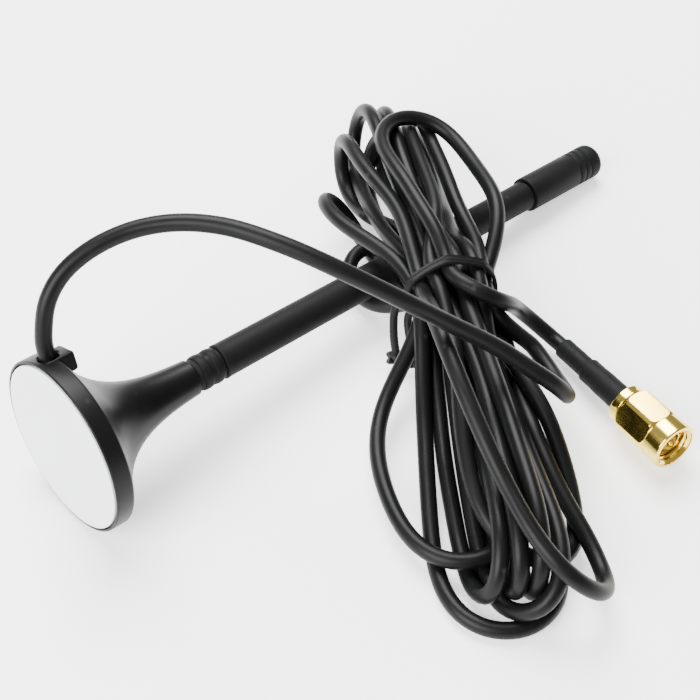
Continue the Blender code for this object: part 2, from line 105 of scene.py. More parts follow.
def grain_group():
    """Fine grain, slow mottling and sparse specks over any surface, each at its own size in metres."""
    group = bpy.data.node_groups.new("grain", "ShaderNodeTree")
    for name, kind in (("Vector", "NodeSocketVector"), ("Grain Size", "NodeSocketFloat"),
                       ("Mottle Size", "NodeSocketFloat"), ("Speck Size", "NodeSocketFloat")):
        group.interface.new_socket(name, in_out="INPUT", socket_type=kind)
    for name in ("Height", "Mottle", "Specks"):
        group.interface.new_socket(name, in_out="OUTPUT", socket_type="NodeSocketFloat")
    given, result = put(group, "NodeGroupInput"), put(group, "NodeGroupOutput")

    def scale_of(size):
        node = put(group, "ShaderNodeMath", {0: 1.0}, operation="DIVIDE")
        group.links.new(given.outputs[size], node.inputs[1])
        return node.outputs[0]

    for size, detail, output in (("Grain Size", 2.0, "Height"), ("Mottle Size", 3.0, "Mottle")):
        noise = put(group, "ShaderNodeTexNoise", {"Detail": detail, "Roughness": 0.6})
        group.links.new(given.outputs["Vector"], noise.inputs["Vector"])
        group.links.new(scale_of(size), noise.inputs["Scale"])
        group.links.new(noise.outputs["Fac"], result.inputs[output])
    cells = put(group, "ShaderNodeTexVoronoi", feature="F1")
    group.links.new(given.outputs["Vector"], cells.inputs["Vector"])
    group.links.new(scale_of("Speck Size"), cells.inputs["Scale"])
    specks = put(group, "ShaderNodeMapRange",
                 {"From Min": 0.10, "From Max": 0.04, "To Min": 0.0, "To Max": 1.0})
    group.links.new(cells.outputs["Distance"], specks.inputs["Value"])
    group.links.new(specks.outputs["Result"], result.inputs["Specks"])
    return group


GRAIN = grain_group()


def moulded(name, dark, light, rough, grain, mottle, bump, speck=0.006, specular=0.5, speck_gain=0.35):
    """A moulded or extruded plastic: two shades mottled together, uneven gloss, grain and some dust."""
    material = bpy.data.materials.new(name)
    material.use_nodes = True
    tree = material.node_tree
    shader = tree.nodes["Principled BSDF"]
    shader.inputs["Specular IOR Level"].default_value = specular
    place = put(tree, "ShaderNodeTexCoord")
    surface = put(tree, "ShaderNodeGroup", node_tree=GRAIN)
    for socket, size in (("Grain Size", grain), ("Mottle Size", mottle), ("Speck Size", speck)):
        surface.inputs[socket].default_value = size
    tree.links.new(place.outputs["Object"], surface.inputs["Vector"])
    shade = put(tree, "ShaderNodeMix", {"A": (*dark, 1), "B": (*light, 1)}, data_type="RGBA")
    tree.links.new(surface.outputs["Mottle"], shade.inputs["Factor"])
    dust = put(tree, "ShaderNodeMix", {"B": (0.12, 0.12, 0.12, 1)}, data_type="RGBA")
    some = put(tree, "ShaderNodeMath", {1: speck_gain}, operation="MULTIPLY")
    tree.links.new(surface.outputs["Specks"], some.inputs[0])
    tree.links.new(some.outputs[0], dust.inputs["Factor"])
    tree.links.new(shade.outputs["Result"], dust.inputs["A"])
    tree.links.new(dust.outputs["Result"], shader.inputs["Base Color"])
    gloss = put(tree, "ShaderNodeMapRange",
                {"From Min": 0.3, "From Max": 0.7, "To Min": rough[0], "To Max": rough[1]})
    tree.links.new(surface.outputs["Mottle"], gloss.inputs["Value"])
    tree.links.new(gloss.outputs["Result"], shader.inputs["Roughness"])
    relief = put(tree, "ShaderNodeBump", {"Strength": 1.0, "Distance": bump})
    tree.links.new(surface.outputs["Height"], relief.inputs["Height"])
    tree.links.new(relief.outputs["Normal"], shader.inputs["Normal"])
    return material


def arc(middle_r, middle_h, radius, start, end, steps=6):
    """Points of an arc in a turned profile, its angles in degrees from outwards towards up."""
    angles = [radians(start + (end - start) * k / steps) for k in range(steps + 1)]
    return [(middle_r + radius * cos(a), middle_h + radius * sin(a)) for a in angles]


def turned(profile, sides=128):
    """Spins a profile of (radius, height) points about Z. It is closed on the axis, or else into a ring."""
    bm = bmesh.new()
    closed = profile[0][0] > 0
    rows = []
    for radius, height in profile:
        if radius < 1e-6:
            rows.append([bm.verts.new((0, 0, height))])
            continue
        rows.append([
            bm.verts.new((radius * cos(tau * k / sides), radius * sin(tau * k / sides), height))
            for k in range(sides)
        ])
    pairs = list(zip(rows, rows[1:]))
    if closed:
        pairs.append((rows[-1], rows[0]))
    for low, high in pairs:
        for k in range(sides):
            corners = [low[k % len(low)], low[(k + 1) % len(low)]]
            corners += [high[(k + 1) % len(high)], high[k % len(high)]]
            bm.faces.new(list(dict.fromkeys(corners)))
    bmesh.ops.recalc_face_normals(bm, faces=bm.faces)
    return bm


def make(name, bm, place, material, sharp=35):
    """Millimetre geometry becomes a piece in metres, its place in its mesh and its object at the origin."""
    bmesh.ops.transform(bm, matrix=Matrix.Scale(MM, 4) @ place, verts=bm.verts)
    mesh = bpy.data.meshes.new(name)
    bm.to_mesh(mesh)
    bm.free()
    mesh.shade_smooth()
    mesh.set_sharp_from_angle(angle=radians(sharp))
    mesh.materials.append(material)
    piece = bpy.data.objects.new(name, mesh)
    bpy.context.scene.collection.objects.link(piece)
    return piece


def plain(piece):
    """Turns the piece, as its modifiers show it, into one plain mesh with none left."""
    bpy.context.view_layer.update()
    evaluated = piece.evaluated_get(bpy.context.evaluated_depsgraph_get())
    mesh = bpy.data.meshes.new_from_object(evaluated)
    piece.modifiers.clear()
    piece.data = mesh


def combine(piece, tool, operation, sharp=30):
    """Joins the tool to the piece, cuts it away or keeps what both share, and uses up the tool."""
    boolean = piece.modifiers.new("combine", "BOOLEAN")
    boolean.operation = operation
    boolean.solver = "EXACT"
    boolean.object = tool
    plain(piece)
    bpy.data.objects.remove(tool)
    piece.data.shade_smooth()
    piece.data.set_sharp_from_angle(angle=radians(sharp))


def flare(height):
    """Outer radius of the housing's sweep at a height above the pad face."""
    return NECK_RADIUS + (RIM_RADIUS - NECK_RADIUS) * exp(-(height - RIM_TOP) / FLARE_LENGTH)


ABS = moulded("base_abs", ABS_BLACK, ABS_WORN, (0.34, 0.44), grain=0.00022, mottle=0.011, bump=0.00001,
              specular=0.12, speck_gain=0.08)

sweep_heights = np.linspace(RIM_TOP + 0.35, NECK_TOP - 0.3, 40)
outside = arc(RIM_RADIUS - 0.3, LIP + 0.3, 0.3, -90, 0)
outside += arc(RIM_RADIUS - RIM_FILLET, RIM_TOP - 0.35, RIM_FILLET, 0, 55)
outside += [(flare(height), height) for height in sweep_heights]
neck = flare(NECK_TOP)
inside = [(neck - 0.25, NECK_TOP), (STUD_CLEARANCE, NECK_TOP), (STUD_CLEARANCE, FLOOR_OF_NECK)]
inside += [(flare(height) - WALL, height) for height in np.linspace(FLOOR_OF_NECK, RIM_TOP + 0.6, 12)]
inside += [(flare(RIM_TOP + 0.6) - WALL, PAD_LEDGE), (RECESS_RADIUS, PAD_LEDGE), (RECESS_RADIUS, LIP + 0.1)]
inside += [(RECESS_RADIUS + 0.1, LIP)]
housing = make("base_shell", turned(outside + inside, 160), antenna_place, ABS)

boss = bmesh.new()
boss_face = RIM_RADIUS * cos(asin(BOSS_WIDTH / 2 / RIM_RADIUS)) + 0.25
boss_start = BOSS_INNER + 1.9
bmesh.ops.create_cube(boss, size=1)
bmesh.ops.scale(boss, vec=(boss_face - boss_start, BOSS_WIDTH, BOSS_HIGH - BOSS_LOW), verts=boss.verts)
bmesh.ops.translate(
    boss, vec=((boss_face + boss_start) / 2, 0, (BOSS_HIGH + BOSS_LOW) / 2), verts=boss.verts
)
bmesh.ops.bevel(boss, geom=boss.edges[:], offset=0.55, segments=4, profile=0.5, affect="EDGES")
combine(housing, make("boss", boss, antenna_place @ exit_turn, ABS), "UNION")
hole_place = antenna_place @ exit_turn @ Matrix.Translation((0, 0, EXIT_HEIGHT))
hole_place = hole_place @ Matrix.Rotation(pi / 2, 4, "Y")
mouth = [(0, HOLE_START), (HOLE_RADIUS, HOLE_START), (HOLE_RADIUS, boss_face - 0.3)]
mouth += [(HOLE_RADIUS + 0.5, boss_face + 0.2), (HOLE_RADIUS + 0.5, HOLE_END), (0, HOLE_END)]
combine(housing, make("hole", turned(mouth, 48), hole_place, ABS), "DIFFERENCE")
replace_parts(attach(housing, "base"), "base_housing")


# ---- base pad ------------------------------------------------------------------------------------
# A die-cut disc of white film, stuck into the recess of the rim. It keeps the magnet from scratching what it
# holds. Its face is satin with a faint orange peel.
PAD_RADIUS = 14.25
PAD_THICKNESS = 0.5
PAD_WHITE = (0.78, 0.79, 0.80)
PAD_SHADE = (0.70, 0.715, 0.73)

FILM = moulded("white_film", PAD_SHADE, PAD_WHITE, (0.38, 0.5), grain=0.0009, mottle=0.014, bump=0.000006,
               speck=0.02, speck_gain=0.15)
pad_profile = [(0, 0), *arc(PAD_RADIUS - 0.12, 0.12, 0.12, -90, 0)]
pad_profile += [(PAD_RADIUS, PAD_THICKNESS), (0, PAD_THICKNESS)]
pad = make("pad_disc", turned(pad_profile, 160), antenna_place, FILM)
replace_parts(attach(pad, "base"), "base_pad")


# ---- mast ----------------------------------------------------------------------------------------
# The whip's skin is matt nylon. A ferrule with two round ribs screws down on the base's stud, the long tube
# tapers a little from it, and the cap at the tip is a push fit with three fine grooves turned near its end.
FERRULE_LOW = 26.4
FERRULE_HIGH = 30.7
FERRULE_BORE = 2.65
TUBE_START = 31.0
TUBE_END = 105.0
TUBE_FOOT = 3.05
TUBE_TIP = 2.8
TUBE_BORE = 1.9
SPIGOT = 2.3
SPIGOT_END = 109.3
CAP_START = 105.3
CAP_RADIUS = 3.35
CAP_END = 124.5
CAP_ROUNDING = 1.6
CAP_BORE = 1.9
CAP_SOCKET = 2.6
SOCKET_END = 109.6
ROD_END = 121.5
CAP_GROOVES = (117.9, 119.5, 121.0)
GROOVE_DEPTH = 0.2
NYLON_DARK = (0.0055, 0.0055, 0.0058)
NYLON_LIGHT = (0.0085, 0.0085, 0.009)

NYLON = moulded("mast_nylon", NYLON_DARK, NYLON_LIGHT, (0.5, 0.6), grain=0.00018, mottle=0.008,
                bump=0.000018, specular=0.07, speck_gain=0.1)

ribs = [(FERRULE_BORE, FERRULE_LOW), (2.9, FERRULE_LOW), (3.02, FERRULE_LOW + 0.12)]
ribs += [(3.06 + 0.07 * sin(pi * k / 6), FERRULE_LOW + 0.25 + 1.3 * k / 6) for k in range(7)]
ribs += [(3.0, FERRULE_LOW + 1.68), (2.9, FERRULE_LOW + 1.76), (2.9, FERRULE_LOW + 1.95)]
ribs += arc(2.86, FERRULE_LOW + 2.1, 0.12, -70, 70, 6)
ribs += [(2.9, FERRULE_LOW + 2.25), (2.9, FERRULE_LOW + 2.4), (3.0, FERRULE_LOW + 2.48)]
ribs += [(3.05 + 0.06 * sin(pi * k / 6), FERRULE_LOW + 2.6 + 1.1 * k / 6) for k in range(7)]
ribs += [(2.98, FERRULE_LOW + 3.84), (2.88, FERRULE_LOW + 3.92), (2.88, FERRULE_HIGH)]
ribs += [(FERRULE_BORE, FERRULE_HIGH)]
ferrule = make("mast_ribs", turned(ribs, 96), antenna_place, NYLON)
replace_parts(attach(ferrule, "mast"), "mast_ferrule")

shell = [(TUBE_BORE, TUBE_START), (TUBE_FOOT - 0.35, TUBE_START)]
shell += arc(TUBE_FOOT - 0.22, TUBE_START + 0.3, 0.3, -90, 20, 6)
shell += [(TUBE_FOOT, TUBE_START + 1.0)]
taper_start = TUBE_START + 1.6
shell += [(TUBE_FOOT + (TUBE_TIP - TUBE_FOOT) * k / 12, taper_start + (TUBE_END - taper_start) * k / 12)
          for k in range(13)]
shell += [(SPIGOT, TUBE_END), (SPIGOT, SPIGOT_END), (TUBE_BORE, SPIGOT_END)]
tube = make("mast_skin", turned(shell, 96), antenna_place, NYLON)
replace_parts(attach(tube, "mast"), "mast_tube")

cap_profile = [(0, ROD_END), (CAP_BORE, ROD_END), (CAP_BORE, SOCKET_END), (CAP_SOCKET, SOCKET_END)]
cap_profile += [(CAP_SOCKET, CAP_START), (CAP_RADIUS - 0.2, CAP_START)]
cap_profile += arc(CAP_RADIUS - 0.2, CAP_START + 0.2, 0.2, -90, 0, 4)
for middle in CAP_GROOVES:
    groove = [(0, -0.28), (0.03, -0.2), (GROOVE_DEPTH, -0.06), (GROOVE_DEPTH, 0.06), (0.03, 0.2), (0, 0.28)]
    cap_profile += [(CAP_RADIUS - depth, middle + along) for depth, along in groove]
cap_profile += arc(CAP_RADIUS - CAP_ROUNDING, CAP_END - CAP_ROUNDING, CAP_ROUNDING, 0, 90, 12)
cap_profile += [(0, CAP_END)]
cap = make("cap_skin", turned(cap_profile, 96), antenna_place, NYLON)
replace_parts(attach(cap, "mast"), "tip_cap")


# ---- metal and ferrite inside base and mast ------------------------------------------------------
# The hidden parts keep their shapes: a sintered ferrite ring between zinc-plated plates, a brass stud with
# its nut and lug, a brass insert, a fluoropolymer coil former with its copper coil, and the steel whip rod.
# A nitrile washer fills the gap between the base's neck and the mast's ferrule.
STEEL_COLOUR = (0.56, 0.57, 0.59)
BRASS_COLOUR = (0.80, 0.58, 0.24)
COPPER_COLOUR = (0.85, 0.42, 0.24)
FERRITE_COLOUR = (0.045, 0.045, 0.05)


def metal(name, colour, tint, rough, grain=0.0004, mottle=0.006, bump=0.000002, metallic=1.0):
    """Bare or plated metal: two close shades, uneven polish and a trace of tool marks."""
    material = bpy.data.materials.new(name)
    material.use_nodes = True
    tree = material.node_tree
    shader = tree.nodes["Principled BSDF"]
    shader.inputs["Metallic"].default_value = metallic
    place = put(tree, "ShaderNodeTexCoord")
    surface = put(tree, "ShaderNodeGroup", node_tree=GRAIN)
    for socket, size in (("Grain Size", grain), ("Mottle Size", mottle), ("Speck Size", 0.01)):
        surface.inputs[socket].default_value = size
    tree.links.new(place.outputs["Object"], surface.inputs["Vector"])
    shade = put(tree, "ShaderNodeMix", {"A": (*colour, 1), "B": (*tint, 1)}, data_type="RGBA")
    tree.links.new(surface.outputs["Mottle"], shade.inputs["Factor"])
    tree.links.new(shade.outputs["Result"], shader.inputs["Base Color"])
    polish = put(tree, "ShaderNodeMapRange",
                 {"From Min": 0.3, "From Max": 0.7, "To Min": rough[0], "To Max": rough[1]})
    tree.links.new(surface.outputs["Mottle"], polish.inputs["Value"])
    tree.links.new(polish.outputs["Result"], shader.inputs["Roughness"])
    relief = put(tree, "ShaderNodeBump", {"Strength": 1.0, "Distance": bump})
    tree.links.new(surface.outputs["Height"], relief.inputs["Height"])
    tree.links.new(relief.outputs["Normal"], shader.inputs["Normal"])
    return material


def darker(colour, share=0.85):
    return tuple(channel * share for channel in colour)


ZINC = metal("zinc_plate", STEEL_COLOUR, darker(STEEL_COLOUR), (0.28, 0.45))
BRASS = metal("turned_brass", BRASS_COLOUR, darker(BRASS_COLOUR), (0.22, 0.36))
COPPER = metal("bare_copper", COPPER_COLOUR, darker(COPPER_COLOUR), (0.25, 0.4))
FERRITE = metal("ferrite_ring", FERRITE_COLOUR, darker(FERRITE_COLOUR, 1.5), (0.5, 0.65), metallic=0.2)
PTFE = moulded("white_ptfe", (0.72, 0.68, 0.58), (0.80, 0.76, 0.66), (0.4, 0.5), 0.0004, 0.004, 0.000003,
               speck_gain=0.0)
NITRILE = moulded("black_nitrile", (0.006, 0.006, 0.006), (0.010, 0.010, 0.010), (0.6, 0.75), 0.0003, 0.004,
                  0.00001, specular=0.1)
HIDDEN_FINISH = {
    "closing_plate": ZINC, "keeper_plate": ZINC, "stud_nut": ZINC, "whip_rod": ZINC,
    "mast_stud": BRASS, "cable_stop": BRASS, "threaded_insert": BRASS, "crimp_ferrule": BRASS,
    "solder_lug": COPPER, "feed_wire": COPPER, "radiating_coil": COPPER, "snap_ring": COPPER,
    "magnet": FERRITE, "coil_former": PTFE, "mating_gasket": NITRILE,
}
WASHER_RADIUS = 2.8
WASHER_BORE = 2.0
washer_low, washer_high = NECK_TOP + 0.04, FERRULE_LOW - 0.04
washer_profile = [(WASHER_BORE, washer_low), (WASHER_RADIUS, washer_low)]
washer_profile += [(WASHER_RADIUS, washer_high), (WASHER_BORE, washer_high)]
washer = make("mast_washer", turned(washer_profile, 64), antenna_place, NITRILE)
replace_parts(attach(washer, "mast_seal"), "mast_gasket")
for node_name, material in HIDDEN_FINISH.items():
    for material_slot in frame["nodes"][node_name].material_slots:
        material_slot.material = material


# ---- cable ---------------------------------------------------------------------------------------
# One length of 2.8 mm coaxial cable with a satin black PVC jacket. It leaves the boss, arcs over the mast,
# folds nine times on the far side of the tie and eight on the near side, and ends inside the plug's crimp.
CABLE_RADIUS = 1.4
PVC_BLACK = (0.0030, 0.0030, 0.0032)
PVC_GREY = (0.0055, 0.0055, 0.0058)

EXIT_RADII = (12.6, 17.0)
LEAD_ROUTE = [
    (-56.4, 7.6, 32.6),
    (-54.3, 8.6, 36.8),
    (-50.9, 9.0, 40.0),
    (-45.9, 8.2, 42.6),
    (-39.9, 5.9, 44.4),
    (-34.5, 1.8, 45.6),
    (-29.6, -4.2, 46.0),
    (-25.0, -12.6, 45.2),
    (-20.6, -19.6, 42.6),
    (-14.4, -26.0, 37.2),
    (-7.6, -30.6, 30.4),
    (-1.6, -35.6, 24.6),
    (1.9, -40.2, 20.6),
    (4.1, -43.2, 18.0),
    (6.0, -44.2, 15.2),
    (7.9, -43.4, 12.4),
    (9.8, -41.0, 10.4),
    (11.4, -37.6, 9.4),
    (12.5, -34.0, 9.5),
    (12.9, -30.6, 10.4),
]
TAIL_ROUTE = [
    (15.8, -21.8, 11.4),
    (18.5, -21.7, 8.6),
    (20.5, -23.5, 5.6),
    (21.6, -26.1, 3.9),
]
nut_spin = next(joint for joint in frame["joints"] if joint["name"] == "nut_spin")
plug_mouth = Vector(nut_spin["pos_m"]) / MM
plug_heading = Vector(nut_spin["axis"]).normalized()
CRIMP_START = 12.9
OUTER_SHRINK = 9.2
INNER_SHRINK = 6.7
shrink_end = CRIMP_START + OUTER_SHRINK + INNER_SHRINK
straight_end = [plug_mouth - plug_heading * back
                for back in (shrink_end + 1.6, shrink_end - 3.6, CRIMP_START + 4.3)]

tie_low, tie_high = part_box("tie_band")
tie_centre = (tie_low + tie_high) / 2 / MM
HANK_HEADING = Vector((0.545, 0.839, 0)).normalized()
hank_side = Vector((HANK_HEADING.y, -HANK_HEADING.x, 0))

# The strands' places in the waist, by radius and angle: a ring of twelve, a ring of six and a middle one.
OUTER_RING = {f"out{k}": (5.6, radians(30 * k)) for k in range(12)}
INNER_RING = {f"in{k}": (2.8, radians(60 * k + 15)) for k in range(6)}
WAIST = {**OUTER_RING, **INNER_RING, "middle": (0.0, 0.0)}

# Each lobe is one fold of the hank, far and near by turns: its place in the waist where it starts, its reach
# from the tie, its tip's sideways place and height, its bend radius, its lean from flat in degrees, how far
# its middle bows sideways and up, which leg comes first, how full its legs are, and how far its tip turns.
Lobe = namedtuple("Lobe", "start reach side height radius lean bow lift first full tip",
                  defaults=((0.55, 0.85, 1.0), 0))
LOBES = [
    Lobe("out1", 49.5, -1.5, 7.8, 7.2, 78, -0.5, 0.0, 1),
    Lobe("out11", 51.0, 4.8, 7.0, 7.5, -30, 0.5, 3.0, 1),
    Lobe("out4", 44.0, 0.8, 8.6, 7.2, -70, 0.0, 0.0, -1),
    Lobe("out2", 57.0, 3.0, 5.5, 6.8, 50, 0.0, -1.0, 1),
    Lobe("out9", 48.5, -5.0, 8.6, 7.2, 80, 0.0, 0.5, -1),
    Lobe("in1", 57.5, 1.0, 7.6, 6.8, 82, 0.0, 0.0, 1),
    Lobe("in4", 46.0, -5.3, 8.6, 7.2, 75, 0.0, 0.0, 1),
    Lobe("in5", 56.0, -0.8, 7.4, 6.8, 88, 0.5, 0.0, -1),
    Lobe("in2", 50.0, -8.2, 8.6, 7.2, 80, -0.5, 0.5, 1),
    Lobe("in3", 55.0, -0.5, 6.6, 6.8, 80, -0.5, 0.0, 1),
    Lobe("out8", 25.5, -9.2, 2.4, 6.4, 0, 0.6, -3.0, 1),
    Lobe("out7", 47.0, -7.2, 3.2, 9.4, 10, -1.9, -2.0, -1, (0.8, 1.1, 1.0), 18),
    Lobe("out10", 34.0, -13.3, 4.6, 7.0, -56, 0.0, 1.5, 1),
    Lobe("out6", 59.0, -0.2, 1.6, 9.5, 3, 0.5, -2.0, -1),
    Lobe("middle", 43.2, -9.9, 8.6, 7.2, 88, 1.0, 1.0, -1),
    Lobe("out5", 59.0, 7.0, 7.5, 8.6, -45, -2.5, 6.5, -1, (1.15, 1.15, 1.0), 25),
    Lobe("out0", 40.2, -0.5, 16.5, 7.7, -15, 2.0, 2.5, 1, (0.8, 1.0, 1.0)),
]
LAST_PLACE = "out3"
INTO_TIE = [(-8.6, 9.0, 12.2), (-6.0, 5.9, 15.0)]
OUT_OF_TIE = [(-3.2, 1.2, 20.6), (-6.0, 4.6, 18.4), (-5.6, 9.4, 15.0)]
WAIST_HALF = 2.2


def in_row(along, sideways, height):
    """A point of the hank, by its distance from the tie, its side and its height, in the row frame."""
    spot = Vector((tie_centre.x, tie_centre.y, height)) + HANK_HEADING * along + hank_side * sideways
    return np.array(spot)


def waist_spot(place):
    radius, angle = WAIST[place]
    return radius * cos(angle), tie_centre.z + radius * sin(angle)


def lobe_points(lobe, end, direction):
    """Nine points round one fold: three up its first leg, three round its tip and three back."""
    (start_side, start_height), (end_side, end_height) = waist_spot(lobe.start), waist_spot(end)
    lean, tip = radians(lobe.lean), radians(lobe.tip)
    spread = np.array([0, cos(lean), sin(lean)]) * lobe.radius * lobe.first
    root = np.array([0, (start_side + end_side) / 2, (start_height + end_height) / 2])
    centre = np.array([(lobe.reach - lobe.radius) * direction, lobe.side, lobe.height])
    first_leg, last_leg = [], []
    for share, full in zip((0.3, 0.62, 0.9), lobe.full):
        middle = root * (1 - share) + centre * share + np.array([0, lobe.bow, lobe.lift]) * sin(pi * share)
        first_leg.append(middle + spread * full)
        last_leg.append(middle - spread * full)
    forward = np.array([cos(tip) * direction, sin(tip), 0]) * lobe.radius
    across = np.array([-sin(tip) * direction * spread[1], cos(tip) * spread[1], spread[2]])
    angles = (radians(40), radians(90), radians(140))
    return first_leg + [centre + forward * sin(a) + across * cos(a) for a in angles] + last_leg[::-1]


def smooth_curve(points, steps=14):
    """Centripetal Catmull-Rom through the points, which doesn't overshoot at uneven spacing."""
    points = np.array(points)
    ends = np.vstack([2 * points[0] - points[1], points, 2 * points[-1] - points[-2]])
    fine = []
    for a, b, c, d in zip(ends, ends[1:], ends[2:], ends[3:]):
        k1 = np.linalg.norm(b - a) ** 0.5
        k2 = k1 + np.linalg.norm(c - b) ** 0.5
        k3 = k2 + np.linalg.norm(d - c) ** 0.5
        for t in np.linspace(k1, k2, steps, endpoint=False):
            ab = ((k1 - t) * a + t * b) / k1
            bc = ((k2 - t) * b + (t - k1) * c) / (k2 - k1)
            cd = ((k3 - t) * c + (t - k2) * d) / (k3 - k2)
            abc = ((k2 - t) * ab + t * bc) / k2
            bcd = ((k3 - t) * bc + (t - k1) * cd) / (k3 - k1)
            fine.append(((k2 - t) * abc + (t - k1) * bcd) / (k2 - k1))
    return np.vstack([fine, points[-1]])


def even_steps(points, spacing):
    run = np.concatenate([[0], np.cumsum(np.linalg.norm(np.diff(points, axis=0), axis=1))])
    steps = np.linspace(0, run[-1], round(run[-1] / spacing) + 1)
    return np.column_stack([np.interp(steps, run, points[:, k]) for k in range(3)])


def fair(points, rounds):
    """Takes short waves out of the line and leaves its folds as wide as they are."""
    for gain in (0.5, -0.51) * rounds:
        middle = (points[:-2] + points[2:]) / 2
        points[1:-1] += (middle - points[1:-1]) * gain * free[1:-1, None]


exit_place = antenna_place @ exit_turn
lead = [np.array(exit_place @ Vector((radius, 0, EXIT_HEIGHT))) for radius in EXIT_RADII]
lead += [np.array(point) for point in LEAD_ROUTE]
tail = [np.array(point) for point in TAIL_ROUTE + straight_end]
folds = [in_row(*point) for point in INTO_TIE]
direction = 1
for lobe, end in zip(LOBES, [lobe.start for lobe in LOBES[1:]] + [LAST_PLACE]):
    sideways, height = waist_spot(lobe.start)
    folds += [in_row(along * direction, sideways, height) for along in (-WAIST_HALF, WAIST_HALF)]
    folds += [in_row(*point) for point in lobe_points(lobe, end, direction)]
    direction = -direction
sideways, height = waist_spot(LAST_PLACE)
folds += [in_row(WAIST_HALF, sideways, height)] + [in_row(*point) for point in OUT_OF_TIE]

SPACING = 1.6
CURVE_STEPS = 14
TAIL_LOOSE = 8               # steps of the tail that may still move, so that it meets the hank smoothly
whole = smooth_curve(lead + folds + tail, CURVE_STEPS)
lead_end, tail_start = (len(lead) - 1) * CURVE_STEPS, (len(lead) + len(folds)) * CURVE_STEPS
stretches = [even_steps(part, SPACING)
             for part in (whole[:lead_end + 1], whole[lead_end:tail_start + 1], whole[tail_start:])]
laid = np.vstack([stretches[0], stretches[1][1:], stretches[2][1:]])
free = np.ones(len(laid))
free[:len(stretches[0])] = 0
free[-len(stretches[2]) + TAIL_LOOSE:] = 0
fair(laid, 250)

CONTACT = 2 * CABLE_RADIUS * 1.01
CONTACT_SKIP = 6             # neighbours along the cable that don't count as touching
MAST_CLEARANCE = 0.35
WAIST_REACH = 6.05
WAIST_EDGE = 8.5             # what lies further out passes beside the tie
FLOOR = CABLE_RADIUS + 0.02
STIFFNESS = ((1, 0.9), (3, 0.8), (8, 0.6))      # span in steps, and how firmly the bend over it is kept


def touching(points, reach):
    """Pairs of points of different stretches that are nearer than reach."""
    product = points @ points.T
    square = np.diag(product)
    near = square[:, None] + square[None] - 2 * product < reach * reach
    return np.where(np.triu(near, CONTACT_SKIP))


def keep_bends(points):
    for span, firmness in STIFFNESS:
        bend = laid[span:-span] - (laid[:-2 * span] + laid[2 * span:]) / 2
        pull = ((points[:-2 * span] + points[2 * span:]) / 2 + bend - points[span:-span]) * firmness
        move = np.zeros_like(points)
        move[span:-span] += pull / 2
        move[:-2 * span] -= pull / 4
        move[2 * span:] -= pull / 4
        points += move * free[:, None]


def push_apart(points, first, second):
    gap = points[second] - points[first]
    distance = np.sqrt((gap**2).sum(1))
    hit = distance < CONTACT
    first, second, distance = first[hit], second[hit], np.maximum(distance[hit], 1e-6)
    push = gap[hit] / distance[:, None] * (CONTACT - distance)[:, None]
    share = np.maximum(free[first] + free[second], 1e-9)
    move, count = np.zeros_like(points), np.zeros(len(points))
    np.add.at(move, first, -push * (free[first] / share)[:, None])
    np.add.at(move, second, push * (free[second] / share)[:, None])
    np.add.at(count, first, 1)
    np.add.at(count, second, 1)
    points += move / np.maximum(count * 0.6, 1)[:, None]


def clear_of_mast(points):
    axis, foot = np.array(mast_direction), np.array(pad_centre)
    height = (points - foot) @ axis
    outward = points - foot - height[:, None] * axis
    distance = np.linalg.norm(outward, axis=1)
    taper = (np.clip(height, TUBE_START, TUBE_END) - TUBE_START) / (TUBE_END - TUBE_START)
    needed = TUBE_FOOT + (TUBE_TIP - TUBE_FOOT) * taper + CABLE_RADIUS + MAST_CLEARANCE
    near = (distance < needed) & (free > 0) & (height > NECK_TOP) & (height < CAP_END + 1)
    points[near] += outward[near] / distance[near][:, None] * (needed - distance)[near][:, None]


def stay_in_tie(points):
    heading, centre = np.array(HANK_HEADING), np.array(tie_centre)
    along = (points - centre) @ heading
    outward = points - centre - along[:, None] * heading
    distance = np.linalg.norm(outward, axis=1)
    loose = (distance > WAIST_REACH) & (distance < WAIST_EDGE) & (free > 0)
    out = loose & (np.abs(along) < WAIST_HALF)
    points[out] -= outward[out] / distance[out][:, None] * (distance[out] - WAIST_REACH)[:, None]


def keep_length(points, lengths):
    for start in (0, 1):
        one, two = points[start:-1:2], points[start + 1::2]
        count = min(len(one), len(two))
        gap = two[:count] - one[:count]
        distance = np.linalg.norm(gap, axis=1)
        free_one, free_two = free[start:-1:2][:count], free[start + 1::2][:count]
        stretch = (distance - lengths[start::2][:count]) / distance / np.maximum(free_one + free_two, 1e-9)
        one[:count] += gap * (stretch * free_one)[:, None]
        two[:count] -= gap * (stretch * free_two)[:, None]


def settle(points, rounds, weight, memory, refresh=8):
    """Lets the folds push each other aside and sink by weight, while they keep their length and bends."""
    lengths = np.linalg.norm(np.diff(laid, axis=0), axis=1)
    for step in range(rounds):
        if step % refresh == 0:
            first, second = touching(points, CONTACT + 2)
        points[:, 2] -= weight * free
        points += (laid - points) * memory * free[:, None]
        keep_bends(points)
        for _ in range(3):
            push_apart(points, first, second)
            clear_of_mast(points)
            stay_in_tie(points)
            points[:, 2] = np.where((free > 0) & (points[:, 2] < FLOOR), FLOOR, points[:, 2])
        for _ in range(4):
            keep_length(points, lengths)


cable = laid.copy()
settle(cable, 200, weight=0.01, memory=0.01)
settle(cable, 150, weight=0.01, memory=0.002)
fair(cable, 200)
for _ in range(30):
    first, second = touching(cable, CONTACT + 2)
    for _ in range(4):
        push_apart(cable, first, second)
        clear_of_mast(cable)
        stay_in_tie(cable)
    fair(cable, 6)
cable[:, 2] = np.where((free > 0) & (cable[:, 2] < FLOOR), FLOOR, cable[:, 2])

centreline = even_steps(smooth_curve(cable, 3), 1.2)


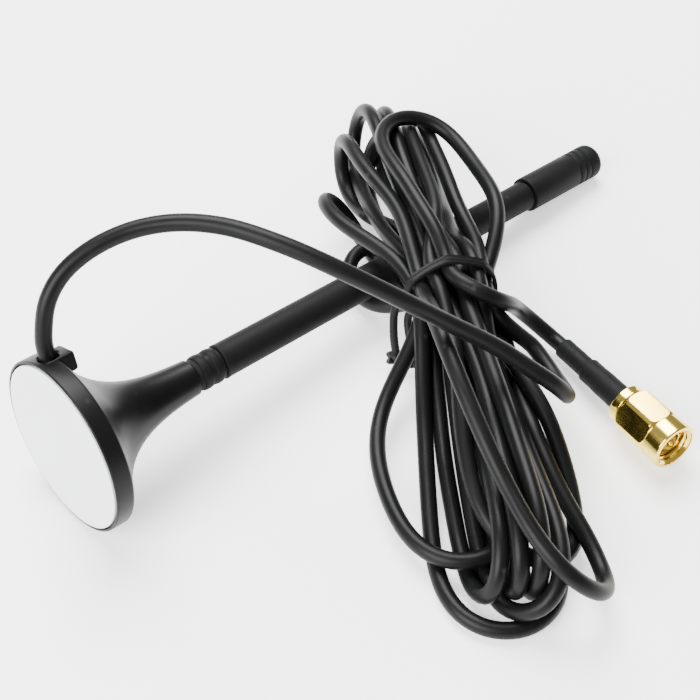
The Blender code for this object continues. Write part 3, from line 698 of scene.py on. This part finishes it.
def tube_along(name, points, radius, material, sides=18):
    """A closed round tube on the points, with a UV map: along its length and round it, in metres."""
    points = np.array(points)
    tangents = np.gradient(points, axis=0)
    tangents /= np.linalg.norm(tangents, axis=1)[:, None]
    normal = np.cross(tangents[0], (0, 0, 1))
    bm = bmesh.new()
    uv = bm.loops.layers.uv.new("along")
    rows = []
    run = np.concatenate([[0], np.cumsum(np.linalg.norm(np.diff(points, axis=0), axis=1))])
    for point, tangent in zip(points, tangents):
        normal = normal - tangent * (normal @ tangent)
        normal /= np.linalg.norm(normal)
        other = np.cross(tangent, normal)
        rows.append([
            bm.verts.new(point + radius * (normal * cos(tau * k / sides) + other * sin(tau * k / sides)))
            for k in range(sides)
        ])
    for k, (low, high) in enumerate(zip(rows, rows[1:])):
        for j in range(sides):
            face = bm.faces.new((low[j], low[(j + 1) % sides], high[(j + 1) % sides], high[j]))
            ends = ((run[k], j), (run[k], j + 1), (run[k + 1], j + 1), (run[k + 1], j))
            for loop, (distance, turn) in zip(face.loops, ends):
                loop[uv].uv = (distance * MM, turn / sides * tau * radius * MM)
    bm.faces.new(rows[0][::-1])
    bm.faces.new(rows[-1])
    return make(name, bm, Matrix.Identity(4), material)


def jacket(name):
    """Extruded PVC: satin black, with faint drawn lines along the cable and patches of uneven gloss."""
    material = moulded(name, PVC_BLACK, PVC_GREY, (0.34, 0.48), grain=0.0012, mottle=0.016,
                       bump=0.00001, specular=0.12, speck_gain=0.1)
    tree = material.node_tree
    shader = tree.nodes["Principled BSDF"]
    follow = put(tree, "ShaderNodeUVMap", uv_map="along")
    stretch = put(tree, "ShaderNodeMapping", {"Scale": (40, 2600, 1)})
    tree.links.new(follow.outputs["UV"], stretch.inputs["Vector"])
    lines = put(tree, "ShaderNodeTexNoise", {"Scale": 1.0, "Detail": 2.0})
    tree.links.new(stretch.outputs["Vector"], lines.inputs["Vector"])
    relief = put(tree, "ShaderNodeBump", {"Strength": 1.0, "Distance": 0.000006})
    tree.links.new(lines.outputs["Fac"], relief.inputs["Height"])
    tree.links.new(shader.inputs["Normal"].links[0].from_socket, relief.inputs["Normal"])
    tree.links.new(relief.outputs["Normal"], shader.inputs["Normal"])
    return material


PVC = jacket("cable_jacket")
cord = tube_along("cable", centreline, CABLE_RADIUS, PVC)
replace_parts(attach(cord, "base"), "cable_lead", "cable_hank", "cable_tail")


# ---- tie -----------------------------------------------------------------------------------------
# A flat plastic-coated wire tie, drawn tight round the waist of the hank, so it takes the outline of the
# strands. Its two ends hang down at the side and are knotted together.
TIE_WIDTH = 1.8
TIE_THICKNESS = 0.6
WIRE_RIDGE = 0.14
TIE_DARK = (0.006, 0.006, 0.0063)
TIE_LIGHT = (0.011, 0.011, 0.0115)

TIE_PLASTIC = moulded("tie_plastic", TIE_DARK, TIE_LIGHT, (0.35, 0.5), grain=0.0005, mottle=0.004,
                      bump=0.00001, specular=0.12, speck_gain=0.1)


def band_outline(steps=120):
    """The line of a band stretched round the strands where they pass the tie."""
    rel = cable - np.array(tie_centre)
    along = rel @ np.array(HANK_HEADING)
    section = rel[(np.abs(along) < 1.3) & (np.linalg.norm(rel, axis=1) < WAIST_REACH + 1.4)]
    flat = np.column_stack([section @ np.array(hank_side), section[:, 2]])
    angles = np.linspace(0, tau, steps, endpoint=False)
    outward = np.column_stack([np.cos(angles), np.sin(angles)])
    reach = (flat @ outward.T).max(0) + CABLE_RADIUS + TIE_THICKNESS / 2 + 0.05
    for _ in range(3):
        reach = (np.roll(reach, 1) + 2 * reach + np.roll(reach, -1)) / 4
    turn = np.column_stack([-np.sin(angles), np.cos(angles)])
    slope = (np.roll(reach, -1) - np.roll(reach, 1)) / (2 * tau / steps)
    return outward * reach[:, None] + turn * slope[:, None]


def band_mesh():
    outline = band_outline()
    half, thick = TIE_WIDTH / 2, TIE_THICKNESS / 2
    profile = []
    for angle in np.linspace(0, tau, 24, endpoint=False):
        across = half * np.sign(cos(angle)) * abs(cos(angle)) ** 0.6
        top = thick + WIRE_RIDGE * cos(across / half * tau)
        face = top if sin(angle) > 0 else 0.1 - thick
        profile.append((across, face * min(1, abs(sin(angle)) * 2)))
    centre = np.array(tie_centre)
    bm = bmesh.new()
    rings = []
    count = len(outline)
    for k in range(count):
        tangent = outline[(k + 1) % count] - outline[k - 1]
        tangent /= np.linalg.norm(tangent)
        outward = np.array([tangent[1], -tangent[0]])
        rings.append([
            bm.verts.new(
                centre + np.array(HANK_HEADING) * across
                + np.array(hank_side) * (outline[k][0] + outward[0] * proud)
                + np.array((0, 0, 1)) * (outline[k][1] + outward[1] * proud)
            )
            for across, proud in profile
        ])
    for k in range(count):
        one, two = rings[k], rings[(k + 1) % count]
        for j in range(len(profile)):
            bm.faces.new((one[j], one[(j + 1) % len(profile)], two[(j + 1) % len(profile)], two[j]))
    bmesh.ops.recalc_face_normals(bm, faces=bm.faces)
    return bm


def wound_tree():
    """Geometry Nodes: one strand wound round a path, as a twisted wire or a screw thread is."""
    tree = bpy.data.node_groups.new("wound_round_path", "GeometryNodeTree")
    tree.interface.new_socket("Geometry", in_out="INPUT", socket_type="NodeSocketGeometry")
    for name in ("Turns", "Wind Radius", "Strand Radius", "Phase"):
        tree.interface.new_socket(name, in_out="INPUT", socket_type="NodeSocketFloat")
    for name in ("Steps", "Sides"):
        tree.interface.new_socket(name, in_out="INPUT", socket_type="NodeSocketInt")
    tree.interface.new_socket("Material", in_out="INPUT", socket_type="NodeSocketMaterial")
    tree.interface.new_socket("Geometry", in_out="OUTPUT", socket_type="NodeSocketGeometry")
    given, result = put(tree, "NodeGroupInput"), put(tree, "NodeGroupOutput")
    path = put(tree, "GeometryNodeMeshToCurve")
    even = put(tree, "GeometryNodeResampleCurve")
    along = put(tree, "GeometryNodeSplineParameter")
    turned_by = put(tree, "ShaderNodeMath", operation="MULTIPLY")
    full = put(tree, "ShaderNodeMath", {1: tau}, operation="MULTIPLY")
    angle = put(tree, "ShaderNodeMath", operation="ADD")
    outward = put(tree, "ShaderNodeVectorRotate", rotation_type="AXIS_ANGLE")
    offset = put(tree, "ShaderNodeVectorMath", operation="SCALE")
    wind = put(tree, "GeometryNodeSetPosition")
    profile = put(tree, "GeometryNodeCurvePrimitiveCircle")
    sweep = put(tree, "GeometryNodeCurveToMesh", {"Fill Caps": True})
    real = put(tree, "GeometryNodeRealizeInstances")
    finish = put(tree, "GeometryNodeSetMaterial")
    for source, target in (
        (given.outputs["Geometry"], path.inputs["Mesh"]),
        (path.outputs["Curve"], even.inputs["Curve"]),
        (given.outputs["Steps"], even.inputs["Count"]),
        (along.outputs["Factor"], turned_by.inputs[0]),
        (given.outputs["Turns"], turned_by.inputs[1]),
        (turned_by.outputs[0], full.inputs[0]),
        (full.outputs[0], angle.inputs[0]),
        (given.outputs["Phase"], angle.inputs[1]),
        (put(tree, "GeometryNodeInputNormal").outputs["Normal"], outward.inputs["Vector"]),
        (put(tree, "GeometryNodeInputTangent").outputs["Tangent"], outward.inputs["Axis"]),
        (angle.outputs[0], outward.inputs["Angle"]),
        (outward.outputs["Vector"], offset.inputs[0]),
        (given.outputs["Wind Radius"], offset.inputs["Scale"]),
        (even.outputs["Curve"], wind.inputs["Geometry"]),
        (offset.outputs["Vector"], wind.inputs["Offset"]),
        (given.outputs["Sides"], profile.inputs["Resolution"]),
        (given.outputs["Strand Radius"], profile.inputs["Radius"]),
        (wind.outputs["Geometry"], sweep.inputs["Curve"]),
        (profile.outputs["Curve"], sweep.inputs["Profile Curve"]),
        (sweep.outputs["Mesh"], real.inputs["Geometry"]),
        (real.outputs["Geometry"], finish.inputs["Geometry"]),
        (given.outputs["Material"], finish.inputs["Material"]),
        (finish.outputs["Geometry"], result.inputs["Geometry"]),
    ):
        tree.links.new(source, target)
    return tree


WOUND = wound_tree()


def wound(path, sizes, phases=(0.0,)):
    """One winding in millimetres, as a bmesh. Each phase is the angle at which one of its strands starts."""
    bm = bmesh.new()
    for phase in phases:
        line = bpy.data.meshes.new("path")
        line.from_pydata([tuple(point) for point in path], [(k, k + 1) for k in range(len(path) - 1)], [])
        holder = bpy.data.objects.new("path", line)
        bpy.context.scene.collection.objects.link(holder)
        winding = holder.modifiers.new("winding", "NODES")
        winding.node_group = WOUND
        values = {**sizes, "Phase": phase}
        for socket in WOUND.interface.items_tree:
            if socket.in_out == "INPUT" and socket.name in values:
                winding[socket.identifier] = values[socket.name]
        plain(holder)
        bm.from_mesh(holder.data)
        bpy.data.objects.remove(holder)
    bmesh.ops.recalc_face_normals(bm, faces=bm.faces)
    return bm


band = make("tie_loop", band_mesh(), Matrix.Identity(4), TIE_PLASTIC)
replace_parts(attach(band, "base"), "tie_band")

END_RADIUS = 0.75
KNOT_RADIUS = 0.6
LEGS = (
    ((1.4, -10.6, 13.6), (0.5, -9.9, 11.4), (-0.9, -11.2, 7.0), (-1.4, -12.4, 3.6)),
    ((2.6, -11.9, 11.6), (1.7, -11.9, 9.6), (0.4, -14.2, 6.0), (-0.2, -15.8, 3.0)),
)
KNOT = ((-2.6, -11.8, 2.6), (-1.2, -13.4, 3.0), (0.4, -16.4, 2.4))
ends = wound(
    KNOT,
    {"Turns": 1.5, "Wind Radius": KNOT_RADIUS, "Strand Radius": KNOT_RADIUS, "Steps": 50, "Sides": 12,
     "Material": TIE_PLASTIC},
    phases=(0.0, pi),
)
for leg in LEGS:
    strand = wound(
        smooth_curve(leg, 8),
        {"Turns": 0.0, "Wind Radius": 0.0, "Strand Radius": END_RADIUS, "Steps": 30, "Sides": 12,
         "Material": TIE_PLASTIC},
    )
    leg_mesh = bpy.data.meshes.new("leg")
    strand.to_mesh(leg_mesh)
    strand.free()
    ends.from_mesh(leg_mesh)
tie_ends = make("tie_ends", ends, Matrix.Identity(4), TIE_PLASTIC)
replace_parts(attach(tie_ends, "base"), "tie_tails")


# ---- heat-shrink sleeves -------------------------------------------------------------------------
# Two sleeves of black polyolefin, shrunk on: a thin one over the cable, and a wider one over the crimp and
# the first one's end. They are matt, with soft ends and a slight step where the crimp stops under them.
SHRINK_DARK = (0.0060, 0.0060, 0.0064)
SHRINK_LIGHT = (0.0095, 0.0095, 0.010)
plug_place = Matrix.Translation(plug_mouth) @ (-plug_heading).to_track_quat("Z", "Y").to_matrix().to_4x4()

SHRINK = moulded("shrink_sleeve", SHRINK_DARK, SHRINK_LIGHT, (0.5, 0.62), grain=0.0003, mottle=0.003,
                 bump=0.00002, specular=0.07, speck_gain=0.1)


def sleeve(name, bore, low, high, outer_at, ripple=0.02):
    """A shrunk sleeve whose outer radius is given along its length, with rolled ends and faint ripples."""
    heights = np.linspace(low + 0.12, high - 0.12, 40)
    wave = [ripple * sin(height * 3.1) * sin(height * 1.3 + 1) for height in heights]
    outer = [(outer_at(height) + rise, height) for height, rise in zip(heights, wave)]
    wall = outer[0][0] - bore
    lip = min(0.14, wall / 2)
    profile = [(bore, low), (outer[0][0] - lip, low), (outer[0][0] - lip / 3, low + 0.04), *outer]
    profile += [(outer[-1][0] - lip / 3, high - 0.04), (outer[-1][0] - lip, high), (bore, high)]
    return make(name, turned(profile, 64), plug_place, SHRINK)


def outer_sleeve_radius(height):
    over_crimp = 1 / (1 + exp((height - CRIMP_START - 5.9) * 3))
    return 2.22 + 0.08 * over_crimp


outer_sleeve = sleeve("shrink_outer", 2.0, CRIMP_START, CRIMP_START + OUTER_SHRINK, outer_sleeve_radius)
inner_sleeve = sleeve("shrink_inner", 1.58, CRIMP_START + 5.8, shrink_end, lambda height: 1.86)
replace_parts(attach(outer_sleeve, "base"), "heat_shrink_outer")
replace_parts(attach(inner_sleeve, "base"), "heat_shrink_inner")


# ---- plug body -----------------------------------------------------------------------------------
# Turned brass with a polished gold flash: the shell that enters the socket, the ring behind the nut, and the
# stem that the braid is crimped on. A white insulator sits back in the shell, with the gold pin in it.
NUT_LENGTH = 10.6
GOLD_COLOUR = (0.93, 0.72, 0.17)
GOLD_DEEP = (0.86, 0.62, 0.11)
GOLD = metal("gold_flash", GOLD_COLOUR, GOLD_DEEP, (0.1, 0.2), grain=0.0006, mottle=0.005, bump=0.0000012)

rear = NUT_LENGTH + 0.3
collar_end = rear + 1.7
body_profile = [(2.02, 1.55), (2.07, 1.5), (2.2, 1.5), (2.25, 1.55), (2.25, 7.2), (2.05, 7.2)]
body_profile += [(2.05, 8.4), (2.35, 8.4), (2.35, rear)]
body_profile += [(3.35, rear), *arc(3.45, rear + 0.18, 0.16, -90, 0, 4), (3.5, rear + 0.62)]
body_profile += [(3.5, collar_end - 0.62), *arc(3.45, collar_end - 0.18, 0.16, 0, 90, 4)]
body_profile += [(2.2, collar_end), (1.4, collar_end), (1.4, collar_end + 4), (0.9, collar_end + 4)]
body_profile += [(0.9, 9.9), (2.02, 9.9)]
plug_body = make("plug_shell", turned(body_profile, 96), plug_place, GOLD)
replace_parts(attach(plug_body, "base"), "connector_body")
insulator_profile = [(0.75, 3.2), *arc(1.72, 3.28, 0.08, -90, 0, 3), (1.8, 9.6), (0.75, 9.6)]
insulator = make("plug_insulator", turned(insulator_profile, 64), plug_place, PTFE)
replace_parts(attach(insulator, "base"), "ptfe_insulator")
pin_profile = [(0, 0.8), (0.12, 0.82), (0.26, 0.95), (0.42, 1.45), (0.45, 1.7), (0.45, 14.0), (0, 14.0)]
pin = make("plug_pin", turned(pin_profile, 48), plug_place, GOLD)
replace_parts(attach(pin, "base"), "centre_pin")


# ---- coupling nut --------------------------------------------------------------------------------
# The nut that screws the plug to its socket, in gold-flashed brass: a round nose, six flats for the spanner
# with rounded corners, and a fine female thread inside. It spins on the plug's body.
NUT_FLATS = 8.0
NOSE_LENGTH = 3.8
NOSE_RADIUS = 4.25
CORNER_RADIUS = 4.42
SHOULDER = 0.95
THREAD_RADIUS = 3.15
THREAD_PITCH = 0.7056
THREAD_END = 7.2
RING_GROOVE = 3.5
GROOVE_END = 8.4
REAR_BORE = 2.7

shoulder, flats_start = CORNER_RADIUS - SHOULDER, NOSE_LENGTH - 0.45
barrel = [(0, flats_start), *arc(shoulder, flats_start + SHOULDER, SHOULDER, -90, 0, 8)]
barrel += [*arc(shoulder, NUT_LENGTH - SHOULDER, SHOULDER, 0, 90, 8), (0, NUT_LENGTH)]
nut = make("nut_shell", turned(barrel, 180), plug_place, GOLD)
flats = bmesh.new()
corner = NUT_FLATS / 2 / cos(pi / 6)
bmesh.ops.create_cone(flats, cap_ends=True, segments=6, radius1=corner, radius2=corner, depth=20,
                      matrix=Matrix.Translation((0, 0, 6)) @ Matrix.Rotation(pi / 6, 4, "Z"))
combine(nut, make("flats", flats, plug_place, GOLD), "INTERSECT", 12)
nose = [(0, 0), (NOSE_RADIUS - 0.42, 0), *arc(NOSE_RADIUS - 0.35, 0.35, 0.35, -80, 0, 5)]
nose += [(NOSE_RADIUS, NOSE_LENGTH - 0.5), (NOSE_RADIUS - 0.25, NOSE_LENGTH - 0.2)]
nose += [(NOSE_RADIUS - 0.25, NOSE_LENGTH + 0.4), (0, NOSE_LENGTH + 0.4)]
combine(nut, make("nose", turned(nose, 180), plug_place, GOLD), "UNION", 12)
bore = [(0, -1), (THREAD_RADIUS + 0.45, -1), (THREAD_RADIUS + 0.45, 0.2), (THREAD_RADIUS, 0.6)]
bore += [(THREAD_RADIUS, THREAD_END), (RING_GROOVE, THREAD_END), (RING_GROOVE, GROOVE_END)]
bore += [(REAR_BORE, GROOVE_END), (REAR_BORE, NUT_LENGTH + 1), (0, NUT_LENGTH + 1)]
combine(nut, make("bore", turned(bore, 96), plug_place, GOLD), "DIFFERENCE", 12)
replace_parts(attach(nut, "nut"), "coupling_nut")

THREAD_START = 0.8
THREAD_RIDGE = 0.24
thread = wound(
    [(0, 0, THREAD_START), (0, 0, (THREAD_START + THREAD_END) / 2), (0, 0, THREAD_END - 0.2)],
    {"Turns": (THREAD_END - 0.2 - THREAD_START) / THREAD_PITCH, "Wind Radius": THREAD_RADIUS,
     "Strand Radius": THREAD_RIDGE, "Steps": 380, "Sides": 4, "Material": GOLD},
)
nut_thread = make("nut_thread", thread, plug_place, GOLD, 60)
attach(nut_thread, "nut")


# ---- floor, lights and camera --------------------------------------------------------------------
# A plain pale floor that glows a little, as a light table does, under two soft studio lights. The camera
# stands above the base's side.
floor_mesh = bpy.data.meshes.new("floor")
floor_mesh.from_pydata([(-2, -2, 0), (2, -2, 0), (2, 2, 0), (-2, 2, 0)], [], [(0, 1, 2, 3)])
FLOOR_WHITE = bpy.data.materials.new("floor_white")
FLOOR_WHITE.use_nodes = True
floor_shader = FLOOR_WHITE.node_tree.nodes["Principled BSDF"]
floor_shader.inputs["Base Color"].default_value = (0.9, 0.9, 0.9, 1)
floor_shader.inputs["Roughness"].default_value = 0.7
floor_shader.inputs["Emission Color"].default_value = (1, 1, 1, 1)
floor_shader.inputs["Emission Strength"].default_value = 1.1
floor_mesh.materials.append(FLOOR_WHITE)
floor = bpy.data.objects.new("floor", floor_mesh)
bpy.context.scene.collection.objects.link(floor)

world = bpy.data.worlds.new("studio")
world.use_nodes = True
world.node_tree.nodes["Background"].inputs["Color"].default_value = (1, 1, 1, 1)
world.node_tree.nodes["Background"].inputs["Strength"].default_value = 0.35
bpy.context.scene.world = world


def softbox(name, place, size, power):
    """A square area light that faces the object."""
    light = bpy.data.lights.new(name, "AREA")
    light.size = size
    light.energy = power
    lamp = bpy.data.objects.new(name, light)
    lamp.location = place
    lamp.rotation_euler = (-Vector(place)).to_track_quat("-Z", "Y").to_euler()
    bpy.context.scene.collection.objects.link(lamp)


softbox("key", (0.25, 0.45, 0.85), 0.7, 34)
softbox("fill", (-0.7, -0.05, 0.45), 0.6, 20)

CAMERA_PLACE = Vector((-123.87, -139.3, 202.7)) * MM
CAMERA_FORWARD = Vector((0.4389, 0.4983, -0.748)).normalized()
CAMERA_RIGHT = Vector((0.7505, -0.6610, 0)).normalized()
camera_up = CAMERA_RIGHT.cross(CAMERA_FORWARD)
camera_data = bpy.data.cameras.new("camera")
camera_data.sensor_width = 36
camera_data.lens = 78.02
camera = bpy.data.objects.new("camera", camera_data)
camera.matrix_world = Matrix.Translation(CAMERA_PLACE) @ Matrix(
    (CAMERA_RIGHT, camera_up, -CAMERA_FORWARD)
).transposed().to_4x4()
bpy.context.scene.collection.objects.link(camera)
bpy.context.scene.camera = camera
